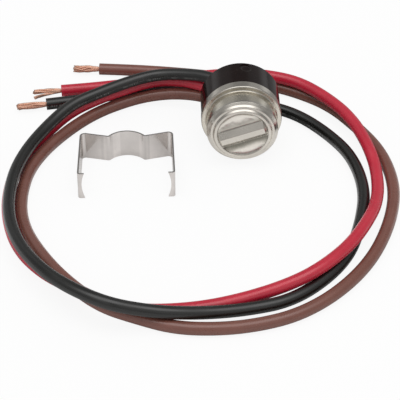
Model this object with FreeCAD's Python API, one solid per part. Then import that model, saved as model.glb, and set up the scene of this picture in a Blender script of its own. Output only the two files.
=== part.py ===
import FreeCAD, Part
import os
from math import cos, pi, radians, sin, sqrt, tan

# Defrost thermostat with three leads and its tube clip, in millimetres.
# The switch axis is Y. The sensing face looks along -Y, Z is up, and the origin is the middle of
# the flat top of the rib on the sensing face. The part lies on its flange, on the plane z = -FLANGE_RADIUS.

Vec = FreeCAD.Vector
ALONG = Vec(0, 1, 0)
UP = Vec(0, 0, 1)

# Sensing cup, pressed from one sheet
CUP_WALL = 0.5
EDGE_ROUND = 0.15
BARREL_RADIUS = 10.1
BARREL_LENGTH = 5.3
SHOULDER_ROUND = 0.6
RIB_HEIGHT = 1.5
RIB_TOP = 1.8
RIB_FLANK = 1.8
RIB_TILT = 19.0
RIB_END_GAP = 0.2
RIB_FOOT_ROUND = 1.2
RIB_TOP_ROUND = 0.25
RIB_SINK = 0.02
CREST_RISE = 0.4
POCKET_SLOPE = 0.9
POCKET_ROUND = 3.0
TERRACES = 2
TERRACE_WIDTH = 1.05
TERRACE_DROP = 0.625
TERRACE_SLOPE = 0.4
FLANGE_STEP = 1.4
FLANGE_LENGTH = 2.9
FLANGE_ROUND = 0.4
CRIMP_REACH = 1.6

# Bimetal disc, guide plate and transfer pin
DISC_THICKNESS = 0.25
DISC_DISH = 0.4
DISC_EDGE_GAP = 0.3
DISC_RUNNING_GAP = 0.25
PIN_RADIUS = 1.1
PIN_FIT = 0.1
PIN_PLAY = 0.05
GUIDE_RIM_WIDTH = 0.9
GUIDE_RIM_HEIGHT = 0.85
GUIDE_WEB = 1.0
MOULDING_FIT = 0.2

# Switch base and its chamber
BASE_NOSE = 3.0
BASE_FLANGE_FIT = 0.1
BASE_TAIL_WALL = 1.7
CHAMBER_SHARE = 0.555
CHAMBER_DEPTH = 7.8
COVER_THICKNESS = 1.0
SLOT_FIT = 0.1

# Contact system
STRIP = 0.6
STRIP_WIDTH = 3.0
RISER_WIDTH = 1.7
RISER_TAIL = 1.4
FOOT_LENGTH = 3.2
ARM_THICKNESS = 0.3
ARM_WIDTH = 2.8
CONTACT_RADIUS = 1.1
CONTACT_HEIGHT = 0.35
CONTACT_GAP = 0.4
RIVET_RADIUS = 0.5
RIVET_HEAD_RADIUS = 0.9
RIVET_HEAD = 0.3

# Moulded housing, its seal and the cast filling
HOUSING_LIP = 0.1
HOUSING_WALL = 1.0
HOUSING_LENGTH = 9.2
HOUSING_ROUND = 0.3
MARK_RADIUS = 1.6
MARK_DEPTH = 0.25
MARK_PLACE = 6.9
MARK_TURN = 6.3
SEAL_LENGTH = 1.0
SEAL_WIDTH = 0.9
SEAL_FIT = 0.05
FILL_RECESS = 0.5

# Raised exit of the cast filling, where the leads come out to one side
EXIT_MARGIN = 0.85
EXIT_ROUND = 0.6
EXIT_TOP = 1.6
EXIT_FOOT = 4.6

# Leads and their bared ends
LEAD_DIAMETER = 3.5
STRAND_RADIUS = 0.32
STRAND_CIRCLE = 0.75
STRAND_SPLAY = 1.1
STRAND_TWIST = 70.0
STRANDS_ROUND = 6
BARED_LENGTH = 9.0
TANGENT_SHARE = 0.45

# Tube clip, bent from one strip of spring steel and standing on its long edge
CLIP_STRIP = 0.45
CLIP_WIDTH = 8.5
CLIP_SPAN = 25.7
CLIP_SPLAY = 0.3
CLIP_LEG = 18.9
CLIP_TAB = 1.85
CLIP_VALLEY = 1.9
CLIP_ARCH_RADIUS = 6.35
CLIP_ARCH_TURN = 92.0
CLIP_CORNER_ROUND = 1.2
CLIP_VALLEY_ROUND = 0.6
CLIP_TAB_ROUND = 0.5
CRESCENT_CLEARANCE = 0.25
CRESCENT_REACH = 0.9
CLIP_PLACE = (-32.9, 7.4)

# Depths along the axis and radii that follow from the sizes above
FLOOR_DEPTH = RIB_HEIGHT
CREST_DEPTH = FLOOR_DEPTH - CREST_RISE
SHOULDER_DEPTH = CREST_DEPTH + TERRACES * TERRACE_DROP
BARREL_START = SHOULDER_DEPTH + SHOULDER_ROUND
FLANGE_START = BARREL_START + BARREL_LENGTH
FLANGE_END = FLANGE_START + FLANGE_LENGTH
FLANGE_RADIUS = BARREL_RADIUS + FLANGE_STEP
CREST_RADIUS = BARREL_RADIUS - SHOULDER_ROUND - TERRACES * TERRACE_WIDTH
FLOOR_RADIUS = CREST_RADIUS - POCKET_SLOPE
RIB_REACH = CREST_RADIUS - RIB_END_GAP
CUP_BORE = BARREL_RADIUS - CUP_WALL
FLANGE_BORE = FLANGE_RADIUS - CUP_WALL
FLANGE_SEAT = FLANGE_START + CUP_WALL
CRIMP_INNER = FLANGE_RADIUS - CRIMP_REACH
DISC_SEAT = SHOULDER_DEPTH + CUP_WALL
DISC_RADIUS = CUP_BORE - DISC_EDGE_GAP
GUIDE_START = DISC_SEAT + DISC_THICKNESS + DISC_RUNNING_GAP
GUIDE_END = GUIDE_START + GUIDE_RIM_HEIGHT + GUIDE_WEB
GUIDE_RADIUS = CUP_BORE - MOULDING_FIT
BASE_FLANGE_RADIUS = FLANGE_BORE - BASE_FLANGE_FIT
BASE_FLANGE_END = FLANGE_END - CUP_WALL - BASE_FLANGE_FIT
HOUSING_RADIUS = FLANGE_RADIUS - HOUSING_LIP
HOUSING_BORE = HOUSING_RADIUS - HOUSING_WALL
HOUSING_END = FLANGE_END + HOUSING_LENGTH
CHAMBER_FLOOR = GUIDE_END + BASE_NOSE
BASE_END = CHAMBER_FLOOR + CHAMBER_DEPTH
COVER_END = BASE_END + COVER_THICKNESS
SEAL_OUTER = min(CRIMP_INNER, HOUSING_BORE) - SEAL_FIT
TAIL_RADIUS = SEAL_OUTER - SEAL_WIDTH - SEAL_FIT
TAIL_INNER = TAIL_RADIUS - BASE_TAIL_WALL
CHAMBER_HALF = CHAMBER_SHARE * TAIL_INNER
CHAMBER_SIDE = sqrt(TAIL_INNER ** 2 - CHAMBER_HALF ** 2)
FILL_END = HOUSING_END - FILL_RECESS
LEAD_RADIUS = LEAD_DIAMETER / 2
TABLE = -FLANGE_RADIUS

# Depths inside the switch chamber, from its floor to the back
DEFROST_CONTACT = CHAMBER_FLOOR + STRIP
ARM_DEPTH = DEFROST_CONTACT + 2 * CONTACT_HEIGHT
FAN_CONTACT = ARM_DEPTH + ARM_THICKNESS + CONTACT_HEIGHT + CONTACT_GAP
FAN_FOOT = FAN_CONTACT + CONTACT_HEIGHT
CONTACT_PLACE = CHAMBER_SIDE - STRIP - CONTACT_RADIUS - MOULDING_FIT
RISER_END = COVER_END + RISER_TAIL

# Routes of the leads, from the exit to the end of the insulation
BLACK_ROUTE = [
    (-1.2, 23.2, 1.3), (-8.5, 28.3, 1.3), (-16.1, 32, -0.2), (-24.5, 34.2, -1.8), (-33.1, 31.5, -2.6),
    (-41.7, 27.2, -3.4), (-49.3, 23, -4.2), (-56.1, 14.7, -5.9), (-61.4, 4.3, -6.2), (-64.8, -8.1, -6.2),
    (-65.2, -23.6, -6.2), (-61.6, -37.7, -5.4), (-54.5, -50.9, -3.4), (-46.8, -59.1, -2.5), (-37.9, -64.9, -2.5),
    (-29.9, -65.1, -4.8), (-21.4, -64.9, -6.4), (-11.4, -62.7, -8.7), (-1.3, -60.5, -9.75), (9.3, -57.8, -9.75),
    (19, -50.1, -9.75), (26.8, -39.8, -9.75), (31.4, -25.5, -9.75), (33.7, -12, -9.75), (31.6, 3.1, -9.75),
    (25.4, 14.3, -9.75), (17.7, 23.5, -9.75), (9.3, 28.2, -9.75), (-0.5, 33, -9.75), (-9.9, 36.8, -9.75),
    (-20.3, 39.1, -9.75), (-30.4, 37.4, -9.75), (-40, 34.7, -9.75), (-49.1, 32.5, -9.75), (-57.1, 31.2, -9.75),
]
RED_ROUTE = [
    (-1.2, 23.2, -2.4), (-8.5, 28.3, -2.4), (-16.5, 34, -3.9), (-24.9, 36.3, -5.5), (-33, 33.5, -6.2),
    (-41.7, 29.2, -6.7), (-49.8, 24, -7.6), (-56, 17.2, -9.4), (-62.9, 4.9, -9.75), (-65.8, -7.6, -9.75),
    (-65.7, -21.1, -9.75), (-62.1, -34.7, -9.75), (-55.3, -44.4, -9.75), (-47.5, -50.6, -9.75), (-38.7, -56.9, -9.75),
    (-29.8, -60.1, -9.75), (-21.3, -60.4, -9.75), (-11.3, -59.2, -9.75), (-0.7, -56, -9.75), (8.9, -53.8, -7.8),
    (16.5, -50.5, -6.2), (24.8, -42.3, -6.2), (30.5, -33.9, -6.2), (36.4, -20.1, -8), (37.9, -5.1, -9.2),
    (36.1, 4.4, -6.6), (32.5, 17, -6.2), (26.3, 27.2, -6.2), (18.6, 35.5, -6.2), (9.7, 39.2, -6.2),
    (0.7, 40.5, -6.2), (-9.3, 40.3, -6.7), (-18.7, 42.6, -9.5), (-27.8, 41.8, -9.75), (-37.3, 40.1, -9.75),
    (-45.4, 38.9, -9.75), (-52.9, 38.1, -9.75),
]
BROWN_ROUTE = [
    (-1.2, 23.2, -6.1), (-8.5, 28.3, -6.1), (-17.1, 32, -7.1), (-25.5, 33.3, -8.6), (-33.1, 32, -9.75),
    (-41.7, 26.7, -9.75), (-48.9, 19.5, -9.75), (-56.3, 9.2, -9.75), (-61.1, -1.7, -9.75), (-62.5, -15.7, -9.75),
    (-60.4, -28.2, -9.1), (-54.3, -43.4, -6.2), (-47.6, -53.1, -6.2), (-39.4, -61.9, -6.2), (-30.4, -63.1, -9.4),
    (-20.5, -66.9, -9.75), (-9.5, -67.7, -9.75), (0.5, -66.5, -9.75), (10.6, -63.3, -9.75), (20.3, -56.6, -9.75),
    (29.1, -46.9, -9.75), (35.4, -36.1, -9.75), (40.4, -22.2, -9.75), (42.2, -9.3, -9.75), (40.2, 4.8, -9.75),
    (35, 16, -9.75), (27.8, 27.7, -9.75), (18.5, 35, -9.75), (8.7, 39.8, -9.75), (-1.7, 43.1, -9.75),
    (-12.2, 45.4, -9.75), (-22.6, 47.2, -9.75), (-32.6, 48.5, -9.75), (-41.6, 49.3, -9.75),
]


def turned(*outline):
    """A solid of revolution about the switch axis, from (radius, depth) points."""
    points = [Vec(radius, depth, 0) for radius, depth in outline]
    face = Part.Face(Part.makePolygon(points + points[:1]))
    return face.revolve(Vec(), ALONG, 360)


def barrel(radius, start, end):
    """A plain cylinder on the switch axis between two depths."""
    return Part.makeCylinder(radius, end - start, Vec(0, start, 0), ALONG)


def block(low, high):
    """A box from its lowest to its highest corner."""
    size = Vec(*high) - Vec(*low)
    return Part.makeBox(size.x, size.y, size.z, Vec(*low))


def rings(solid, *places):
    """The circular edges about the switch axis that lie at the given (radius, depth) places."""
    found = []
    for edge in solid.Edges:
        if not isinstance(edge.Curve, Part.Circle):
            continue
        circle = edge.Curve
        for radius, depth in places:
            if abs(circle.Radius - radius) < 1e-4 and abs(circle.Center.y - depth) < 1e-4:
                found.append(edge)
    return found


def rib(length, foot, top, base_depth, top_depth):
    """A diametral rib with sloping ends and rounded edges, tilted as it is pressed in the face."""
    low = base_depth + RIB_SINK
    deep = low + RIB_SINK
    wide = foot + RIB_FOOT_ROUND
    crossing = [(-wide, low), (-foot, low), (-top, top_depth), (top, top_depth), (foot, low), (wide, low)]
    corners = [Vec(-length, depth, place) for place, depth in crossing]
    edges = cornered_path(corners, [RIB_FOOT_ROUND, RIB_TOP_ROUND, RIB_TOP_ROUND, RIB_FOOT_ROUND])
    under = [corners[-1], Vec(-length, deep, wide), Vec(-length, deep, -wide), corners[0]]
    section = Part.Face(Part.Wire(edges + Part.makePolygon(under).Edges))
    height = deep - top_depth
    ends = Part.makeCone(length - (base_depth - top_depth) / 2, length + RIB_SINK, height,
                         Vec(0, top_depth, 0), ALONG)
    shape = section.extrude(Vec(2 * length, 0, 0)).common(ends)
    shape.rotate(Vec(), ALONG, -RIB_TILT)
    return shape


def cup_face():
    """The stepped front of the cup, from the floor to the barrel, as (radius, depth) points."""
    outline = [(0, FLOOR_DEPTH), (FLOOR_RADIUS, FLOOR_DEPTH)]
    for step in range(TERRACES):
        radius = CREST_RADIUS + step * TERRACE_WIDTH
        depth = CREST_DEPTH + step * TERRACE_DROP
        outline.append((radius, depth))
        outline.append((radius + TERRACE_WIDTH - TERRACE_SLOPE, depth))
    outline.append((BARREL_RADIUS - SHOULDER_ROUND, SHOULDER_DEPTH))
    outline.append((BARREL_RADIUS, BARREL_START))
    return outline


def sensing_cup():
    """The pressed cup with its ribbed, terraced face and the crimped flange."""
    face = cup_face()
    seat_start = CUP_BORE - GUIDE_RIM_WIDTH - DISC_EDGE_GAP
    outer = turned(*face, (BARREL_RADIUS, FLANGE_START), (FLANGE_RADIUS, FLANGE_START),
                   (FLANGE_RADIUS, FLANGE_END), (0, FLANGE_END))
    outer = outer.makeFillet(EDGE_ROUND, rings(outer, *face[2:]))
    outer = outer.makeFillet(POCKET_ROUND, rings(outer, face[1]))
    outer = outer.makeFillet(FLANGE_ROUND, rings(
        outer, (BARREL_RADIUS, FLANGE_START), (FLANGE_RADIUS, FLANGE_START), (FLANGE_RADIUS, FLANGE_END)))
    outer = outer.fuse(rib(RIB_REACH, RIB_TOP / 2 + RIB_FLANK, RIB_TOP / 2, FLOOR_DEPTH, 0)).removeSplitter()
    inner_floor = FLOOR_DEPTH + CUP_WALL
    hollow = turned((0, inner_floor), (seat_start - TERRACE_SLOPE, inner_floor), (seat_start, DISC_SEAT),
                    (CUP_BORE, DISC_SEAT), (CUP_BORE, FLANGE_SEAT), (FLANGE_BORE, FLANGE_SEAT),
                    (FLANGE_BORE, FLANGE_END - CUP_WALL), (CRIMP_INNER, FLANGE_END - CUP_WALL),
                    (CRIMP_INNER, FLANGE_END + CUP_WALL), (0, FLANGE_END + CUP_WALL))
    under_rib = rib(RIB_REACH - CUP_WALL,RIB_TOP / 2 + RIB_FLANK - CUP_WALL, RIB_TOP / 2 - CUP_WALL / 2,
                    inner_floor, CUP_WALL)
    return outer.cut(hollow.fuse(under_rib))


def bimetal_disc():
    """The snap disc, dished towards the switch, with its edge on the seat inside the cup."""
    sphere = (DISC_RADIUS ** 2 + DISC_DISH ** 2) / (2 * DISC_DISH)
    centre = Vec(0, DISC_SEAT + DISC_DISH - sphere, 0)
    shell = Part.makeSphere(sphere + DISC_THICKNESS, centre).cut(Part.makeSphere(sphere, centre))
    return shell.common(barrel(DISC_RADIUS, DISC_SEAT, DISC_SEAT + DISC_DISH + 2 * DISC_THICKNESS))


def guide_plate():
    """The moulded plate over the disc, with a rim that keeps the disc in and a hole for the pin."""
    web = GUIDE_END - GUIDE_WEB
    inner = GUIDE_RADIUS - GUIDE_RIM_WIDTH
    bore = PIN_RADIUS + PIN_FIT
    return turned((bore, web), (inner, web), (inner, GUIDE_START), (GUIDE_RADIUS, GUIDE_START),
                  (GUIDE_RADIUS, GUIDE_END), (bore, GUIDE_END))


def transfer_pin():
    """The ceramic pin that carries the snap of the disc to the contact arm."""
    crown = DISC_SEAT + DISC_DISH + DISC_THICKNESS
    pin = barrel(PIN_RADIUS, crown + PIN_PLAY, ARM_DEPTH)
    return pin.makeChamfer(EDGE_ROUND, rings(pin, (PIN_RADIUS, crown + PIN_PLAY), (PIN_RADIUS, ARM_DEPTH)))


def switch_base():
    """The moulded base: hub in the barrel, flange under the crimp, tail with the switch chamber."""
    bore = PIN_RADIUS + PIN_FIT
    body = turned((bore, GUIDE_END), (GUIDE_RADIUS, GUIDE_END), (GUIDE_RADIUS, FLANGE_SEAT),
                  (BASE_FLANGE_RADIUS, FLANGE_SEAT), (BASE_FLANGE_RADIUS, BASE_FLANGE_END),
                  (TAIL_RADIUS, BASE_FLANGE_END), (TAIL_RADIUS, BASE_END), (bore, BASE_END))
    return body.cut(block((-CHAMBER_SIDE, CHAMBER_FLOOR, -CHAMBER_HALF), (CHAMBER_SIDE, BASE_END, CHAMBER_HALF)))


def riser_places():
    """The low corners, in x and z, of the common, defrost and fan risers."""
    edge = CHAMBER_HALF - MOULDING_FIT
    return {
        "common": (-CHAMBER_SIDE, -RISER_WIDTH / 2),
        "defrost": (CHAMBER_SIDE - STRIP, -edge),
        "fan": (CHAMBER_SIDE - STRIP, edge - RISER_WIDTH),
    }


def riser(name, margin=0.0):
    """The strip of one terminal that runs back along the chamber wall and through the cover."""
    x, z = riser_places()[name]
    return block((x - margin, CHAMBER_FLOOR, z - margin), (x + STRIP + margin, RISER_END, z + RISER_WIDTH + margin))


def terminal(name):
    """One terminal strip: its riser and the foot that carries a contact or the arm."""
    edge = CHAMBER_HALF - MOULDING_FIT
    half = STRIP_WIDTH / 2
    inner = CHAMBER_SIDE - FOOT_LENGTH
    if name == "common":
        foot = block((-CHAMBER_SIDE, ARM_DEPTH - STRIP, -half), (-inner, ARM_DEPTH, half))
        foot = foot.cut(arm_hole(ARM_DEPTH - STRIP, ARM_DEPTH))
    elif name == "defrost":
        foot = block((inner, CHAMBER_FLOOR, -edge), (CHAMBER_SIDE, DEFROST_CONTACT, half))
    else:
        foot = block((inner, FAN_FOOT, -half), (CHAMBER_SIDE, FAN_FOOT + STRIP, edge))
    return foot.fuse(riser(name)).removeSplitter()


def arm_hole(start, end, place=-1, radius=RIVET_RADIUS):
    """A short cylinder at the rivet (place -1) or at the moving contact (place 1)."""
    return Part.makeCylinder(radius, end - start, Vec(place * CONTACT_PLACE, start, 0), ALONG)


def contact_arm():
    """The leaf spring from the common foot to the moving contact."""
    end = ARM_DEPTH + ARM_THICKNESS
    half = ARM_WIDTH / 2
    leaf = block((STRIP - CHAMBER_SIDE, ARM_DEPTH, -half), (CONTACT_PLACE + CONTACT_RADIUS, end, half))
    return leaf.cut(arm_hole(ARM_DEPTH, end)).cut(arm_hole(ARM_DEPTH, end, 1))


def moving_contact():
    """The double-headed contact that is riveted through the tip of the arm."""
    end = ARM_DEPTH + ARM_THICKNESS
    near = arm_hole(ARM_DEPTH - CONTACT_HEIGHT, ARM_DEPTH, 1, CONTACT_RADIUS)
    far = arm_hole(end, end + CONTACT_HEIGHT, 1, CONTACT_RADIUS)
    return near.fuse([arm_hole(ARM_DEPTH, end, 1), far]).removeSplitter()


def fixed_contact(start):
    """A fixed contact, seated on the foot of its terminal."""
    return arm_hole(start, start + CONTACT_HEIGHT, 1, CONTACT_RADIUS)


def arm_rivet():
    """The rivet that holds the arm to the common foot."""
    low = ARM_DEPTH - STRIP
    high = ARM_DEPTH + ARM_THICKNESS
    heads = [arm_hole(low - RIVET_HEAD, low, radius=RIVET_HEAD_RADIUS),
             arm_hole(high, high + RIVET_HEAD, radius=RIVET_HEAD_RADIUS)]
    return arm_hole(low, high).fuse(heads).removeSplitter()


def switch_cover():
    """The cover of the chamber, slotted for the three risers."""
    cover = barrel(TAIL_RADIUS, BASE_END, COVER_END)
    return cover.cut([riser(name, SLOT_FIT) for name in riser_places()])


def seal_ring():
    """The soft ring between the tail of the base and the housing."""
    inner = TAIL_RADIUS + SEAL_FIT
    start = BASE_FLANGE_END
    end = FLANGE_END + SEAL_LENGTH
    return turned((inner, start), (SEAL_OUTER, start), (SEAL_OUTER, end), (inner, end))


def housing():
    """The black moulded sleeve behind the flange, with a shallow round mould mark on top."""
    sleeve = turned((HOUSING_BORE, FLANGE_END), (HOUSING_RADIUS, FLANGE_END), (HOUSING_RADIUS, HOUSING_END),
                    (HOUSING_BORE, HOUSING_END))
    sleeve = sleeve.makeFillet(HOUSING_ROUND, rings(sleeve, (HOUSING_RADIUS, HOUSING_END)))
    mark = Part.makeCylinder(MARK_RADIUS, HOUSING_WALL,
                             Vec(0, FLANGE_END + MARK_PLACE, HOUSING_RADIUS - MARK_DEPTH), UP)
    mark.rotate(Vec(), ALONG, MARK_TURN)
    return sleeve.cut(mark)


def potting():
    """The cast filling of the housing, raised at the back into the exit of the leads."""
    disc = barrel(HOUSING_BORE, COVER_END, FILL_END)
    start = Vec(*BLACK_ROUTE[0])
    out = (Vec(*BLACK_ROUTE[1]) - start).normalize()
    side = Vec(-out.y, out.x, 0)
    if side.y < 0:
        side = -side
    reach = LEAD_RADIUS + EXIT_MARGIN
    near = start - side * reach
    far = start + side * reach
    low = BROWN_ROUTE[0][2] - reach
    root = (COVER_END + FILL_END) / 2
    outline = [(near.x, root), (near.x, near.y), (far.x, far.y), (far.x + EXIT_TOP, far.y),
               (EXIT_FOOT, FILL_END), (EXIT_FOOT, root)]
    points = [Vec(x, y, low) for x, y in outline]
    height = BLACK_ROUTE[0][2] + reach - low
    raised = Part.Face(Part.makePolygon(points + points[:1])).extrude(UP * height)
    edges = [edge for edge in raised.Edges if max(v.Y for v in edge.Vertexes) > near.y + reach]
    raised = raised.makeFillet(EXIT_ROUND, edges)
    raised = raised.cut(turned((HOUSING_BORE, root), (2 * HOUSING_RADIUS, root), (2 * HOUSING_RADIUS, HOUSING_END),
                               (HOUSING_BORE, HOUSING_END)))
    return disc.fuse(raised).removeSplitter().cut([riser(name) for name in riser_places()])


def cornered_path(corners, radii):
    """Straight runs joined by tangent arcs, one arc of the given radius at each inner corner."""
    edges = []
    here = corners[0]
    for before, corner, after, radius in zip(corners, corners[1:], corners[2:], radii):
        back = (before - corner).normalize()
        on = (after - corner).normalize()
        half_turn = (pi - back.getAngle(on)) / 2
        reach = radius * tan(half_turn)
        arc_start = corner + back * reach
        arc_end = corner + on * reach
        inward = (back + on).normalize()
        middle = corner + inward * (radius / cos(half_turn) - radius)
        edges.append(Part.LineSegment(here, arc_start).toShape())
        edges.append(Part.Arc(arc_start, middle, arc_end).toShape())
        here = arc_end
    edges.append(Part.LineSegment(here, corners[-1]).toShape())
    return edges


def largest_radii(corners):
    """For each inner corner, the arc radius that takes a fixed share of its shorter run."""
    radii = []
    for before, corner, after in zip(corners, corners[1:], corners[2:]):
        half_turn = (corner - before).getAngle(after - corner) / 2
        run = min((corner - before).Length, (after - corner).Length)
        radii.append(TANGENT_SHARE * run / tan(half_turn))
    return radii


def lead(name, route):
    """One insulated lead as a round tube along its route."""
    corners = [Vec(*point) for point in route]
    radii = largest_radii(corners)
    path = Part.Wire(cornered_path(corners, radii))
    start = Part.Circle(corners[0], corners[1] - corners[0], LEAD_RADIUS).toShape()
    tube = path.makePipeShell([Part.Wire(start)], True, False)
    ideal = pi * LEAD_RADIUS ** 2 * path.Length
    print(name, "length", round(path.Length, 1), "volume share", round(tube.Volume / ideal, 4),
          "radii", " ".join(str(round(radius, 1)) for radius in radii))
    return tube


def conductor_end(route):
    """The bared end of a lead: one middle strand and a twisted ring of strands that splay apart."""
    end = Vec(*route[-1])
    along = (end - Vec(*route[-2])).normalize()
    side = Vec(-along.y, along.x, 0).normalize()
    strands = []
    for strand in range(-1, STRANDS_ROUND):
        angle = radians(360 / STRANDS_ROUND * strand)
        turn = angle + radians(STRAND_TWIST)
        root = side * cos(angle) * STRAND_CIRCLE + UP * sin(angle) * STRAND_CIRCLE
        tip = side * cos(turn) * STRAND_SPLAY + UP * sin(turn) * STRAND_SPLAY
        if strand < 0:
            root = tip = Vec()
        disc = Part.Face(Part.Wire(Part.Circle(end + root, along, STRAND_RADIUS).toShape()))
        strands.append(disc.extrude(along * BARED_LENGTH + tip - root))
    return Part.makeCompound(strands)


def strip_side(corners, radii, offset):
    """One side of a bent strip: the runs of its middle line moved over, with the arcs to match."""
    normals = []
    for first, second in zip(corners, corners[1:]):
        run = (second - first).normalize()
        normals.append(Vec(-run.y, run.x, 0))
    moved = [corners[0] + normals[0] * offset]
    moved_radii = []
    for corner, radius, before, after in zip(corners[1:], radii, normals, normals[1:]):
        moved.append(corner + (before + after) * (offset / (1 + before.dot(after))))
        left_turn = before.cross(after).z > 0
        moved_radii.append(radius - offset if left_turn else radius + offset)
    moved.append(corners[-1] + normals[-1] * offset)
    return moved, moved_radii


def mounting_clip():
    """The spring clip: two legs with hooked tabs, and a back that is arched to sit on a tube."""
    half = CLIP_STRIP / 2
    side = (CLIP_SPAN + CLIP_STRIP) / 2
    arch = CLIP_ARCH_RADIUS + half
    arch_half_turn = radians(CLIP_ARCH_TURN / 2)
    valley = (arch * tan(arch_half_turn) + CLIP_VALLEY_ROUND) * cos(arch_half_turn)
    top = valley * tan(arch_half_turn) - CLIP_VALLEY
    foot = side + CLIP_SPLAY
    left = [Vec(half + CLIP_TAB - foot, -CLIP_LEG, 0), Vec(-foot, -CLIP_LEG, 0), Vec(-side, 0, 0),
            Vec(-valley, -CLIP_VALLEY, 0)]
    right = [Vec(-corner.x, corner.y, 0) for corner in reversed(left)]
    corners = left + [Vec(0, top, 0)] + right
    bends = [CLIP_TAB_ROUND, CLIP_CORNER_ROUND, CLIP_VALLEY_ROUND]
    radii = bends + [arch] + bends[::-1]
    outer = strip_side(corners, radii, half)
    inner = strip_side(corners, radii, -half)
    edges = cornered_path(*outer) + cornered_path(*inner)
    for end in (0, -1):
        edges.append(Part.LineSegment(outer[0][end], inner[0][end]).toShape())
    wire = Part.Wire(Part.__sortEdges__(edges))
    strip = Part.Face(wire).extrude(UP * CLIP_WIDTH)
    crescent = FLANGE_RADIUS + CRESCENT_CLEARANCE
    reach = foot - CRESCENT_REACH
    for mirror in (-1, 1):
        centre = Vec(mirror * (reach - crescent), -CLIP_LEG - CLIP_TAB, CLIP_WIDTH / 2)
        strip = strip.cut(Part.makeCylinder(crescent, 2 * CLIP_TAB, centre, ALONG))
    strip.translate(Vec(*CLIP_PLACE, TABLE))
    return strip


PIECES = {
    "sensing_cup": sensing_cup(),
    "bimetal_disc": bimetal_disc(),
    "guide_plate": guide_plate(),
    "transfer_pin": transfer_pin(),
    "switch_base": switch_base(),
    "common_terminal": terminal("common"),
    "defrost_terminal": terminal("defrost"),
    "fan_terminal": terminal("fan"),
    "contact_arm": contact_arm(),
    "arm_rivet": arm_rivet(),
    "moving_contact": moving_contact(),
    "defrost_contact": fixed_contact(DEFROST_CONTACT),
    "fan_contact": fixed_contact(FAN_CONTACT),
    "switch_cover": switch_cover(),
    "seal_ring": seal_ring(),
    "housing": housing(),
    "potting": potting(),
    "black_lead": lead("black lead", BLACK_ROUTE),
    "red_lead": lead("red lead", RED_ROUTE),
    "brown_lead": lead("brown lead", BROWN_ROUTE),
    "black_conductor": conductor_end(BLACK_ROUTE),
    "red_conductor": conductor_end(RED_ROUTE),
    "brown_conductor": conductor_end(BROWN_ROUTE),
    "mounting_clip": mounting_clip(),
}

os.makedirs("parts", exist_ok=True)
for name, shape in PIECES.items():
    shape.exportStep("parts/" + name + ".step")
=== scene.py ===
"""Looks of a defrost thermostat with three loose leads and a spring tube clip."""

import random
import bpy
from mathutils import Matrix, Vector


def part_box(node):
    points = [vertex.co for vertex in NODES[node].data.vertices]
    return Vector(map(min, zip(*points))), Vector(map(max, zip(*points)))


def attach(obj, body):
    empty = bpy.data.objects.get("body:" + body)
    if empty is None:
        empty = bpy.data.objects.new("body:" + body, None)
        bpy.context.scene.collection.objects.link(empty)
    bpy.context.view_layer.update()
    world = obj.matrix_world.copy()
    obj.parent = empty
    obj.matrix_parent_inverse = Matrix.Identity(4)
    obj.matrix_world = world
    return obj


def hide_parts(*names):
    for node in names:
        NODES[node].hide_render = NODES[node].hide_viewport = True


bl_info = {
    "name": "Defrost Thermostat Looks",
    "version": (1, 0, 0),
    "blender": (4, 5, 0),
    "location": "3D View > Sidebar > Thermostat",
    "description": "Finishes, leads and studio for a snap-disc defrost thermostat",
    "category": "Object",
}

from math import cos, pi, radians, sin

import bpy
from mathutils import Vector

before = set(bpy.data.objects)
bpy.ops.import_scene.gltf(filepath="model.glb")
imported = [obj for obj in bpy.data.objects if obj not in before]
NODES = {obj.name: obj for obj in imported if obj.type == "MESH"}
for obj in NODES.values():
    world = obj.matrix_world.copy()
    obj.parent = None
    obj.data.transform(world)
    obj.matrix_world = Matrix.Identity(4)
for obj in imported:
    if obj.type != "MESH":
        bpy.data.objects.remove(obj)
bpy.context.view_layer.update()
MM = 0.001
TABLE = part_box("sensing_cup")[0].z

# Routes of the leads in metres, from the exit to the end of the insulation
BLACK_ROUTE = [
    (-0.0012, 0.0232, 0.0013), (-0.0085, 0.0283, 0.0013), (-0.0161, 0.032, -0.0002),
    (-0.0245, 0.0342, -0.0018), (-0.0331, 0.0315, -0.0026), (-0.0417, 0.0272, -0.0034),
    (-0.0493, 0.023, -0.0042), (-0.0561, 0.0147, -0.0059), (-0.0614, 0.0043, -0.0062),
    (-0.0648, -0.0081, -0.0062), (-0.0652, -0.0236, -0.0062), (-0.0616, -0.0377, -0.0054),
    (-0.0545, -0.0509, -0.0034), (-0.0468, -0.0591, -0.0025), (-0.0379, -0.0649, -0.0025),
    (-0.0299, -0.0651, -0.0048), (-0.0214, -0.0649, -0.0064), (-0.0114, -0.0627, -0.0087),
    (-0.0013, -0.0605, -0.00975), (0.0093, -0.0578, -0.00975), (0.019, -0.0501, -0.00975),
    (0.0268, -0.0398, -0.00975), (0.0314, -0.0255, -0.00975), (0.0337, -0.012, -0.00975),
    (0.0316, 0.0031, -0.00975), (0.0254, 0.0143, -0.00975), (0.0177, 0.0235, -0.00975),
    (0.0093, 0.0282, -0.00975), (-0.0005, 0.033, -0.00975), (-0.0099, 0.0368, -0.00975),
    (-0.0203, 0.0391, -0.00975), (-0.0304, 0.0374, -0.00975), (-0.04, 0.0347, -0.00975),
    (-0.0491, 0.0325, -0.00975), (-0.0571, 0.0312, -0.00975),
]
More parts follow.
